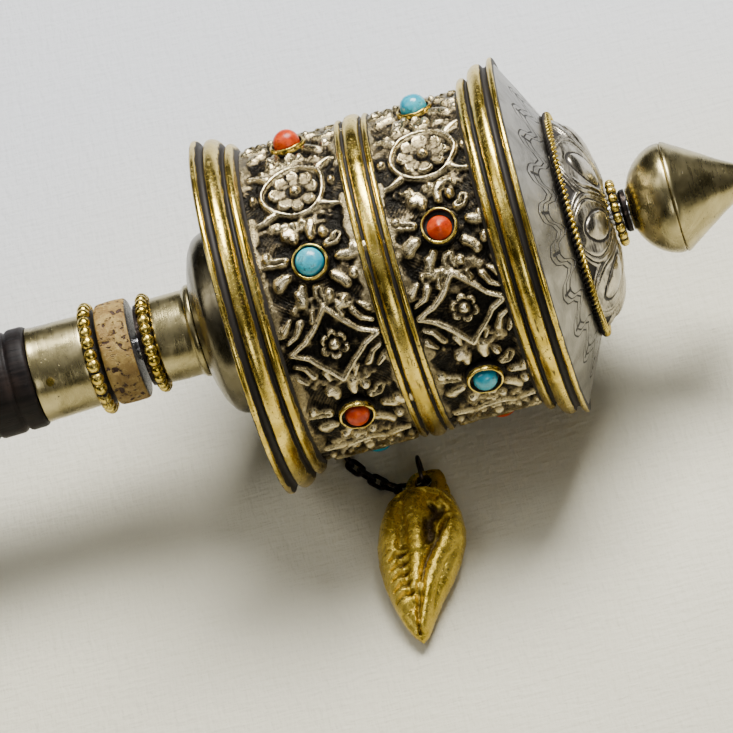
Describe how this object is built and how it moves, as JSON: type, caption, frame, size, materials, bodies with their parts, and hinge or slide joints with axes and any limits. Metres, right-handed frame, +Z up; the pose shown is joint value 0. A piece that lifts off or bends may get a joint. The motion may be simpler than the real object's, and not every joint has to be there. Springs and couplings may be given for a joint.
{
  "type": "prayer wheel",
  "caption": "Hand-held prayer wheel: banded sheet-metal drum with set stones spinning on a steel spindle, turned wooden handle, pointed finial, and a chain with a conch-shaped weight.",
  "frame": {"origin": "centre of the flat butt of the handle, on the spin axis", "axes": "+X along the spin axis from the butt to the tip of the finial; +Z up, with the wheel lying on the two rims of its drum; the chain and its weight lie towards -Y"},
  "size_m": [0.2509, 0.0911, 0.066],
  "materials": {
    "dark_wood": "turned, waxed, worn at the grooves",
    "brass": "polished high spots, blackened grooves",
    "white_metal": "antiqued white metal sheet, blackened recesses",
    "spindle_steel": "turned bright steel",
    "dark_metal": "oxidised iron wire",
    "old_gold": "cast brass, gold coloured, grainy",
    "shell": "porous shell or bone, satin, pitted",
    "copper_tube": "rolled copper sheet",
    "scroll_paper": "wound printed-paper roll, left blank",
    "wrap_cloth": "plain cotton wrap",
    "turquoise": "polished cabochon",
    "coral": "polished cabochon"
  },
  "bodies": {
    "handle": {"handle_grip": "dark_wood", "butt_cap": "brass", "butt_bead_ring": "brass", "ferrule": "white_metal", "ferrule_pins": "brass", "ferrule_bead_ring": "brass", "spindle": "spindle_steel", "finial_nut": "brass", "finial_collar": "dark_metal", "finial_bowl": "white_metal", "finial_cone": "white_metal"},
    "washer": {"shell_washer": "shell"},
    "drum": {"neck_flange": "dark_metal", "neck_bead_ring": "brass", "neck_tube": "white_metal", "base_boss": "white_metal", "bottom_plate": "white_metal", "bottom_rim": "brass", "drum_wall": "white_metal", "middle_band": "brass", "top_rim": "brass", "top_plate": "white_metal", "lotus_dome": "white_metal", "lotus_rope_ring": "brass", "top_bead_ring": "brass", "centre_tube": "copper_tube", "lower_bush": "brass", "upper_bush": "brass", "mantra_scroll": "scroll_paper", "scroll_cloth": "wrap_cloth", "stone_bezels": "brass", "turquoise_stones": "turquoise", "coral_stones": "coral", "chain_eyelet": "dark_metal"},
    "link_01": {"chain_link_01": "dark_metal"},
    "link_02": {"chain_link_02": "dark_metal"},
    "link_03": {"chain_link_03": "dark_metal"},
    "link_04": {"chain_link_04": "dark_metal"},
    "link_05": {"chain_link_05": "dark_metal"},
    "link_06": {"chain_link_06": "dark_metal"},
    "link_07": {"chain_link_07": "dark_metal"},
    "link_08": {"chain_link_08": "dark_metal"},
    "link_09": {"chain_link_09": "dark_metal"},
    "link_10": {"chain_link_10": "dark_metal"},
    "link_11": {"chain_link_11": "dark_metal"},
    "link_12": {"chain_link_12": "dark_metal"},
    "link_13": {"chain_link_13": "dark_metal"},
    "link_14": {"chain_link_14": "dark_metal"},
    "link_15": {"chain_link_15": "dark_metal"},
    "jump_ring": {"jump_ring": "dark_metal"},
    "conch": {"conch_weight": "old_gold"}
  },
  "joints": [
    {"name": "drum_spin", "type": "hinge", "parent": "handle", "child": "drum", "pos_m": [0.1827, 0, 0], "axis": [1, 0, 0], "continuous": true},
    {"name": "washer_spin", "type": "hinge", "parent": "handle", "child": "washer", "pos_m": [0.1311, 0, 0], "axis": [1, 0, 0], "continuous": true},
    {"name": "link_01_swing", "type": "hinge", "parent": "drum", "child": "link_01", "pos_m": [0.1827, -0.004, -0.0317], "axis": [0, 1, 0], "range_deg": [-75, 5]},
    {"name": "link_02_swing", "type": "hinge", "parent": "link_01", "child": "link_02", "pos_m": [0.1798, -0.004, -0.0317], "axis": [0, 0, 1], "range_deg": [-30, 50]},
    {"name": "link_03_swing", "type": "hinge", "parent": "link_02", "child": "link_03", "pos_m": [0.1769, -0.00408, -0.0317], "axis": [-0.0523, 0.9986, 0], "range_deg": [-75, 10]},
    {"name": "link_04_swing", "type": "hinge", "parent": "link_03", "child": "link_04", "pos_m": [0.17401, -0.00423, -0.0317], "axis": [0, 0, -1], "range_deg": [-45, 40]},
    {"name": "link_05_swing", "type": "hinge", "parent": "link_04", "child": "link_05", "pos_m": [0.17113, -0.00461, -0.0317], "axis": [0.1908, -0.9816, 0], "range_deg": [-15, 75]},
    {"name": "link_06_swing", "type": "hinge", "parent": "link_05", "child": "link_06", "pos_m": [0.16829, -0.00517, -0.0317], "axis": [0, 0, -1], "range_deg": [-20, 45]},
    {"name": "link_07_swing", "type": "hinge", "parent": "link_06", "child": "link_07", "pos_m": [0.16581, -0.00656, -0.0317], "axis": [0.7193, -0.6947, 0], "range_deg": [-25, 75]},
    {"name": "link_08_swing", "type": "hinge", "parent": "link_07", "child": "link_08", "pos_m": [0.16379, -0.00865, -0.0317], "axis": [0, 0, 1], "range_deg": [-60, 15]},
    {"name": "link_09_swing", "type": "hinge", "parent": "link_08", "child": "link_09", "pos_m": [0.16365, -0.01146, -0.0317], "axis": [0.9511, 0.309, 0], "range_deg": [-10, 75]},
    {"name": "link_10_swing", "type": "hinge", "parent": "link_09", "child": "link_10", "pos_m": [0.16455, -0.01422, -0.0317], "axis": [0, 0, -1], "range_deg": [-20, 75]},
    {"name": "link_11_swing", "type": "hinge", "parent": "link_10", "child": "link_11", "pos_m": [0.16619, -0.01661, -0.0317], "axis": [-0.788, -0.6157, 0], "range_deg": [-75, 20]},
    {"name": "link_12_swing", "type": "hinge", "parent": "link_11", "child": "link_12", "pos_m": [0.16798, -0.01889, -0.0317], "axis": [0, 0, -1], "range_deg": [-38, 60]},
    {"name": "link_13_swing", "type": "hinge", "parent": "link_12", "child": "link_13", "pos_m": [0.17003, -0.02093, -0.0317], "axis": [-0.6157, -0.788, 0], "range_deg": [-75, 30]},
    {"name": "link_14_swing", "type": "hinge", "parent": "link_13", "child": "link_14", "pos_m": [0.17231, -0.02272, -0.0317], "axis": [0, 0, 1], "range_deg": [-60, 60]},
    {"name": "link_15_swing", "type": "hinge", "parent": "link_14", "child": "link_15", "pos_m": [0.17512, -0.02286, -0.0317], "axis": [0.309, -0.9511, 0], "range_deg": [-75, 50]},
    {"name": "jump_ring_turn", "type": "hinge", "parent": "link_15", "child": "jump_ring", "pos_m": [0.17788, -0.02196, -0.0317], "axis": [0, 0, 1], "range_deg": [-20, 35]},
    {"name": "conch_swing", "type": "hinge", "parent": "jump_ring", "child": "conch", "pos_m": [0.17703, -0.02224, -0.0289], "axis": [1, 0, 0], "range_deg": [-50, 30]}
  ]
}
